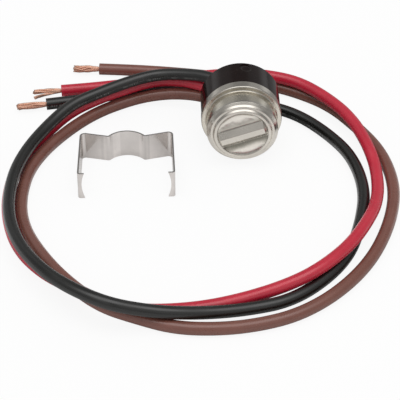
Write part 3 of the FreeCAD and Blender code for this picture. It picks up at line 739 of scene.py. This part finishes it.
class StudioSettings(bpy.types.PropertyGroup):
    """Camera, lamp and floor of the studio."""

    aim: bpy.props.FloatVectorProperty(
        name="Aim", description="Point on the floor that the camera looks at",
        default=(-0.012504, -0.01355, TABLE), subtype="XYZ", unit="LENGTH")
    distance: bpy.props.FloatProperty(
        name="Distance", description="From the camera to its aim", default=0.45393, unit="LENGTH")
    elevation: bpy.props.FloatProperty(
        name="Elevation", description="How steeply the camera looks down", default=radians(39),
        subtype="ANGLE")
    turn: bpy.props.FloatProperty(
        name="Turn", description="How far the camera looks to the right of the switch axis",
        default=radians(1.7), subtype="ANGLE")
    lens: bpy.props.FloatProperty(
        name="Lens", description="Focal length on a 36 mm sensor", default=146.37, unit="CAMERA")
    floor_size: bpy.props.FloatProperty(
        name="Floor size", description="Side of the square floor", default=6.0, unit="LENGTH")
    floor_colour: bpy.props.FloatVectorProperty(
        name="Floor colour", description="Colour of the pale floor", default=(0.9, 0.9, 0.9),
        subtype="COLOR", min=0, max=1)
    floor_glow: bpy.props.FloatProperty(
        name="Floor whiteness", description="Share of plain white that the camera sees on the floor",
        default=0.9, min=0, max=1, subtype="FACTOR")
    floor_gloss_glow: bpy.props.FloatProperty(
        name="Mirrored whiteness", description="Share of plain white that reflections see on the floor",
        default=0.15, min=0, max=1, subtype="FACTOR")
    floor_mirror_far: bpy.props.FloatProperty(
        name="Mirrored floor ahead", description="Level of the floor well ahead of the part in reflections",
        default=0.6, min=0, max=1)
    floor_mirror_back: bpy.props.FloatProperty(
        name="Mirrored floor behind",
        description="Level of the floor beside and behind the part in reflections",
        default=0.3, min=0, max=1)
    world_fill: bpy.props.FloatProperty(
        name="Room light", description="Level of the room that lights matt surfaces", default=0.85, min=0)
    wall_mirror: bpy.props.FloatProperty(
        name="Mirrored wall", description="Level of the room near the horizon in reflections",
        default=0.42, min=0)
    room_mirror: bpy.props.FloatProperty(
        name="Mirrored back", description="Level of the upper room behind the part in reflections",
        default=0.36, min=0)
    front_mirror: bpy.props.FloatProperty(
        name="Mirrored front", description="Level of the upper room in front of the part in reflections",
        default=0.56, min=0)
    side_mirror: bpy.props.FloatProperty(
        name="Mirrored sides", description="Added level of the soft light low at either side in reflections",
        default=0.5, min=0)
    overhead_mirror: bpy.props.FloatProperty(
        name="Mirrored ceiling", description="Added level of the soft light overhead in reflections",
        default=1.9, min=0)
    lamp_power: bpy.props.FloatProperty(
        name="Lamp power", description="Power of the large soft lamp above the part", default=3.4, min=0,
        unit="POWER")


class ThermostatSettings(bpy.types.PropertyGroup):
    """Finishes of the cup, housing and clip."""

    face_radius: bpy.props.FloatProperty(
        name="Face radius", description="Radius of the sunk face of the cup", default=7.3 * MM, unit="LENGTH")
    rib_turn: bpy.props.FloatProperty(
        name="Rib turn", description="How far the rib and the brushing on the face are turned",
        default=radians(19), subtype="ANGLE")
    rib_foot: bpy.props.FloatProperty(
        name="Rib foot", description="From the middle of the rib to its foot", default=2.9 * MM,
        unit="LENGTH")
    cup_colour: bpy.props.FloatVectorProperty(
        name="Cup colour", description="Colour of the pressed metal", default=(0.69, 0.652, 0.59),
        subtype="COLOR", min=0, max=1)
    cup_roughness: bpy.props.FloatProperty(
        name="Cup roughness", description="How dull the pressed metal is", default=0.23, min=0, max=1)
    housing_colour: bpy.props.FloatVectorProperty(
        name="Housing colour", description="Colour of the black moulding", default=(0.009, 0.003, 0.0024),
        subtype="COLOR", min=0, max=1)
    housing_roughness: bpy.props.FloatProperty(
        name="Housing roughness", description="How dull the black moulding is", default=0.15, min=0, max=1)
    mould_mark: bpy.props.FloatVectorProperty(
        name="Mould mark", description="Where the faint round mark lies on top of the housing",
        default=(1.6 * MM, 17.6 * MM, 0.0), subtype="XYZ", unit="LENGTH")
    potting_colour: bpy.props.FloatVectorProperty(
        name="Filling colour", description="Colour of the cast filling", default=(0.018, 0.016, 0.016),
        subtype="COLOR", min=0, max=1)
    clip_colour: bpy.props.FloatVectorProperty(
        name="Clip colour", description="Colour of the spring steel", default=(0.76, 0.73, 0.71),
        subtype="COLOR", min=0, max=1)
    clip_middle: bpy.props.FloatProperty(
        name="Clip middle", description="Where the middle of the clip lies to the side of the switch axis",
        default=-32.9 * MM, unit="LENGTH")
    clip_roughness: bpy.props.FloatProperty(
        name="Clip roughness", description="How dull the spring steel is", default=0.16, min=0, max=1)


class LeadSettings(bpy.types.PropertyGroup):
    """Sizes and colours of the leads and their bared ends."""

    diameter: bpy.props.FloatProperty(
        name="Lead diameter", description="Outside diameter of the insulation", default=3.5 * MM,
        unit="LENGTH")
    black: bpy.props.FloatVectorProperty(
        name="Black lead", description="Colour of the black insulation", default=(0.009, 0.009, 0.008),
        subtype="COLOR", min=0, max=1)
    red: bpy.props.FloatVectorProperty(
        name="Red lead", description="Colour of the red insulation", default=(0.58, 0.018, 0.045),
        subtype="COLOR", min=0, max=1)
    brown: bpy.props.FloatVectorProperty(
        name="Brown lead", description="Colour of the brown insulation", default=(0.2, 0.076, 0.056),
        subtype="COLOR", min=0, max=1)
    lead_roughness: bpy.props.FloatProperty(
        name="Insulation roughness", description="How dull the insulation is", default=0.28, min=0, max=1)
    mark_strength: bpy.props.FloatProperty(
        name="Dash strength", description="How clearly the pale dashes show", default=0.4, min=0, max=1)
    mark_side: bpy.props.FloatProperty(
        name="Dash side", description="Where around the lead the dashes run, from 0 to 1", default=0.925,
        min=0, max=1)
    bared_length: bpy.props.FloatProperty(
        name="Bared length", description="Length of the bared copper", default=9.0 * MM, unit="LENGTH")
    strand_radius: bpy.props.FloatProperty(
        name="Strand radius", description="Radius of one copper strand", default=0.21 * MM, unit="LENGTH")
    copper_colour: bpy.props.FloatVectorProperty(
        name="Copper colour", description="Colour of the bare copper", default=(0.95, 0.57, 0.42),
        subtype="COLOR", min=0, max=1)


class THERMOSTAT_OT_leads(bpy.types.Operator):
    """Lay the three insulated leads along their routes"""

    bl_idname = "thermostat.leads"
    bl_label = "Leads"

    def execute(self, context):
        settings = context.scene.thermostat_leads
        for name, route in ROUTES.items():
            lead = lead_curve(name + "_lead_skin", route, settings.diameter)
            tint = getattr(settings, name)
            lead.data.materials.append(insulation_material(name, tint, MARK_TINTS[name], settings))
            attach(lead, "root")
            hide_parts(name + "_lead")
        return {"FINISHED"}


class THERMOSTAT_OT_bared_ends(bpy.types.Operator):
    bl_idname = "thermostat.bared_ends"
    bl_label = "Bared ends"

    def execute(self, context):
        settings = context.scene.thermostat_leads
        copper = copper_material(settings)
        for name, route in ROUTES.items():
            strands = bared_end(name, route, settings.bared_length, settings)
            strands.data.materials.append(copper)
            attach(strands, "root")
            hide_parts(name + "_conductor")
        return {"FINISHED"}


class THERMOSTAT_OT_cup(bpy.types.Operator):
    """Finish the pressed sensing cup"""

    bl_idname = "thermostat.cup"
    bl_label = "Sensing cup"

    def execute(self, context):
        dress("sensing_cup", cup_material(context.scene.thermostat_body))
        return {"FINISHED"}


class THERMOSTAT_OT_housing(bpy.types.Operator):
    """Finish the black housing and its cast filling"""

    bl_idname = "thermostat.housing"
    bl_label = "Housing and filling"

    def execute(self, context):
        settings = context.scene.thermostat_body
        dress("housing", housing_material(settings))
        dress("potting", potting_material(settings))
        return {"FINISHED"}


# Finishes inside the case: colour, how metallic and how dull it is, the scale of its relief, and its pieces
INNER_FINISHES = {
    "moulding_phenolic": ((0.14, 0.075, 0.045), 0.0, 0.5, 1500.0,
                          ["guide_plate", "switch_base", "switch_cover"]),
    "terminal_brass": ((0.78, 0.6, 0.3), 1.0, 0.3, 2500.0,
                       ["common_terminal", "defrost_terminal", "fan_terminal", "arm_rivet"]),
    "contact_silver": ((0.8, 0.77, 0.72), 1.0, 0.25, 2500.0,
                       ["moving_contact", "defrost_contact", "fan_contact"]),
    "arm_spring_bronze": ((0.75, 0.52, 0.34), 1.0, 0.28, 2500.0, ["contact_arm"]),
    "disc_rolled_metal": ((0.66, 0.64, 0.6), 1.0, 0.3, 3000.0, ["bimetal_disc"]),
    "pin_ceramic": ((0.86, 0.84, 0.8), 0.0, 0.35, 2000.0, ["transfer_pin"]),
    "seal_soft_rubber": ((0.03, 0.03, 0.03), 0.0, 0.7, 1800.0, ["seal_ring"]),
}


class THERMOSTAT_OT_switch(bpy.types.Operator):
    """Finish the snap disc, the mouldings and the contact system inside the case"""

    bl_idname = "thermostat.switch"
    bl_label = "Switch inside"

    def execute(self, context):
        for name, (tint, metallic, roughness, relief, pieces) in INNER_FINISHES.items():
            material = inner_material(name, tint, metallic, roughness, relief)
            for piece in pieces:
                dress(piece, material)
        return {"FINISHED"}


class THERMOSTAT_OT_clip(bpy.types.Operator):
    """Finish the spring tube clip"""

    bl_idname = "thermostat.clip"
    bl_label = "Tube clip"

    def execute(self, context):
        dress("mounting_clip", clip_material(context.scene.thermostat_body))
        return {"FINISHED"}


def add_lamp(name, place, target, size, power):
    """A large soft lamp that looks at a point and doesn't show in reflections."""
    data = bpy.data.lights.new(name, "AREA")
    data.shape = "RECTANGLE"
    data.size, data.size_y = size
    data.energy = power
    lamp = add_object(name, data)
    lamp.visible_glossy = False
    lamp.location = place
    lamp.rotation_euler = (Vector(target) - Vector(place)).to_track_quat("-Z", "Y").to_euler()


def ray_masks(tree):
    """Which rays come from a reflection or through glass, and which straight from the camera."""
    rays = tree.add("ShaderNodeLightPath").outputs
    return tree.math("MAXIMUM", rays["Is Glossy Ray"], rays["Is Transmission Ray"]), rays["Is Camera Ray"]


# Where the floor's mirrored level changes ahead of the part and behind it, along the switch axis
FLOOR_AHEAD = (-0.034, -0.019)
FLOOR_BEHIND = (0.008, 0.02)

# How far the floor lies below the part, so that the two share no plane
FLOOR_GAP = 0.02 * MM


def floor_material(settings):
    """A pale floor with a soft shadow: nearly white to the camera, and darker afar in reflections."""
    material = bpy.data.materials.new("studio_floor")
    material.use_nodes = True
    tree = Tree(material.node_tree)
    material.node_tree.nodes.clear()
    matt = tree.add("ShaderNodeBsdfDiffuse")
    white = tree.add("ShaderNodeEmission")
    mirrored, seen = ray_masks(tree)
    toward_back = tree.split(tree.place())[1]
    front = tree.spread(toward_back, *FLOOR_AHEAD, settings.floor_mirror_far, 1.0, smooth=True)
    behind = tree.spread(toward_back, *FLOOR_BEHIND, 1.0, settings.floor_mirror_back, smooth=True)
    grey = tree.grey(tree.times(front, behind))
    tree.link(tree.blend(mirrored, colour(settings.floor_colour), grey), matt.inputs["Color"])
    tree.link(tree.blend(seen, grey, WHITE), white.inputs["Color"])
    share = tree.math("ADD", tree.times(seen, settings.floor_glow),
                      tree.times(mirrored, settings.floor_gloss_glow))
    mix = tree.add("ShaderNodeMixShader")
    tree.link(share, mix.inputs[0])
    tree.link(matt.outputs[0], mix.inputs[1])
    tree.link(white.outputs[0], mix.inputs[2])
    tree.link(mix.outputs[0], tree.add("ShaderNodeOutputMaterial").inputs["Surface"])
    return material


# The mirrored room by direction: a pair is where a change starts and where it is complete
PANEL_INNER = (0.16, 0.3)
PANEL_OUTER = (0.48, 0.62)
PANEL_LEVELS = (0.85, 1.3)
FRONT_TO_BACK = (-0.5, 0.4)
WALL_TO_ROOM = (0.04, 0.42)
CEILING_GLOW = (0.18, 0.55)
CEILING_WIDTH = 0.6
CEILING_SHIFT = 0.1
SIDE_GLOW = (0.04, 0.24)
SIDE_GLOW_MIDDLE = (0.6, 0.77, 0.14)


def room_level(tree, settings):
    """How light the mirrored room is: a wall below, panels at the sides, and glows above and low down."""
    sideways, toward_back, height = tree.split(tree.add("ShaderNodeTexCoord").outputs["Generated"])
    aside = tree.math("ABSOLUTE", sideways)
    panels = tree.times(tree.spread(aside, *PANEL_INNER, smooth=True),
                        tree.fade(aside, *PANEL_OUTER, smooth=True))
    room = tree.spread(toward_back, *FRONT_TO_BACK, settings.front_mirror, settings.room_mirror, smooth=True)
    room = tree.times(room, tree.spread(panels, 0.0, 1.0, *PANEL_LEVELS))
    dome = tree.spread(height, *WALL_TO_ROOM, settings.wall_mirror, room, smooth=True)
    off_centre = tree.vector("LENGTH", tree.join(tree.times(sideways, CEILING_WIDTH),
                                                 tree.math("ADD", toward_back, CEILING_SHIFT), 0.0))
    overhead = tree.times(tree.fade(off_centre, *CEILING_GLOW, smooth=True),
                          tree.math("GREATER_THAN", height, 0.0))
    dome = tree.math("ADD", dome, tree.times(overhead, settings.overhead_mirror))
    off_side = tree.vector("DISTANCE", tree.join(aside, toward_back, height), SIDE_GLOW_MIDDLE)
    low_side = tree.fade(off_side, *SIDE_GLOW, smooth=True)
    return tree.math("ADD", dome, tree.times(low_side, settings.side_mirror))


def set_world(settings):
    """White to the camera, an even fill for matt surfaces, and a shaped room in reflections."""
    world = bpy.data.worlds.new("studio_world")
    world.use_nodes = True
    bpy.context.scene.world = world
    world.node_tree.nodes.clear()
    tree = Tree(world.node_tree)
    dome = room_level(tree, settings)
    mirrored, seen = ray_masks(tree)
    strength = tree.math("ADD", tree.times(dome, mirrored),
                         tree.times(tree.inverse(mirrored), settings.world_fill))
    strength = tree.math("ADD", tree.times(strength, tree.inverse(seen)), seen)
    back = tree.add("ShaderNodeBackground")
    tree.link(strength, back.inputs["Strength"])
    tree.link(back.outputs[0], tree.add("ShaderNodeOutputWorld").inputs["Surface"])


class THERMOSTAT_OT_stage(bpy.types.Operator):
    """Set the camera, the soft lamp, the pale floor and the world"""

    bl_idname = "thermostat.stage"
    bl_label = "Studio"

    def execute(self, context):
        settings = context.scene.thermostat_studio
        camera_data = bpy.data.cameras.new("studio_camera")
        camera_data.sensor_width = 36.0
        camera_data.lens = settings.lens
        camera_data.clip_start = 0.01
        camera_data.clip_end = 20.0
        camera = add_object("studio_camera", camera_data)
        camera.rotation_euler = (pi / 2 - settings.elevation, 0, -settings.turn)
        looking = camera.rotation_euler.to_matrix() @ Vector((0, 0, -1))
        camera.location = Vector(settings.aim) - looking * settings.distance
        context.scene.camera = camera

        mesh = bpy.data.meshes.new("studio_floor")
        half = settings.floor_size / 2
        level = TABLE - FLOOR_GAP
        corners = [(-half, -half, level), (half, -half, level), (half, half, level), (-half, half, level)]
        mesh.from_pydata(corners, [], [(0, 1, 2, 3)])
        mesh.materials.append(floor_material(settings))
        add_object("studio_floor", mesh)

        add_lamp("top_softbox", place=(0.0, -0.12, 0.95), target=(0, 0, 0), size=(0.9, 0.6),
                 power=settings.lamp_power)
        set_world(settings)
        context.scene.view_settings.view_transform = "Standard"
        return {"FINISHED"}


SETTINGS = {"thermostat_leads": LeadSettings, "thermostat_body": ThermostatSettings,
            "thermostat_studio": StudioSettings}
OPERATORS = [THERMOSTAT_OT_leads, THERMOSTAT_OT_bared_ends, THERMOSTAT_OT_cup, THERMOSTAT_OT_housing,
             THERMOSTAT_OT_switch, THERMOSTAT_OT_clip, THERMOSTAT_OT_stage]


class THERMOSTAT_PT_panel(bpy.types.Panel):
    """Buttons and settings of the thermostat's looks"""

    bl_idname = "THERMOSTAT_PT_panel"
    bl_label = "Defrost thermostat"
    bl_space_type = "VIEW_3D"
    bl_region_type = "UI"
    bl_category = "Thermostat"

    def draw(self, context):
        for operator in OPERATORS:
            self.layout.operator(operator.bl_idname)
        for group in SETTINGS:
            settings = getattr(context.scene, group)
            box = self.layout.box()
            for name in settings.__annotations__:
                box.prop(settings, name)


CLASSES = [*SETTINGS.values(), *OPERATORS, THERMOSTAT_PT_panel]


def register():
    for cls in CLASSES:
        bpy.utils.register_class(cls)
    for name, group in SETTINGS.items():
        setattr(bpy.types.Scene, name, bpy.props.PointerProperty(type=group))


def unregister():
    for name in SETTINGS:
        delattr(bpy.types.Scene, name)
    for cls in reversed(CLASSES):
        bpy.utils.unregister_class(cls)


def main():
    """Builds everything in order."""
    register()
    bpy.ops.thermostat.leads()
    bpy.ops.thermostat.bared_ends()
    bpy.ops.thermostat.cup()
    bpy.ops.thermostat.housing()
    bpy.ops.thermostat.switch()
    bpy.ops.thermostat.clip()
    bpy.ops.thermostat.stage()


if __name__ == "__main__":
    main()
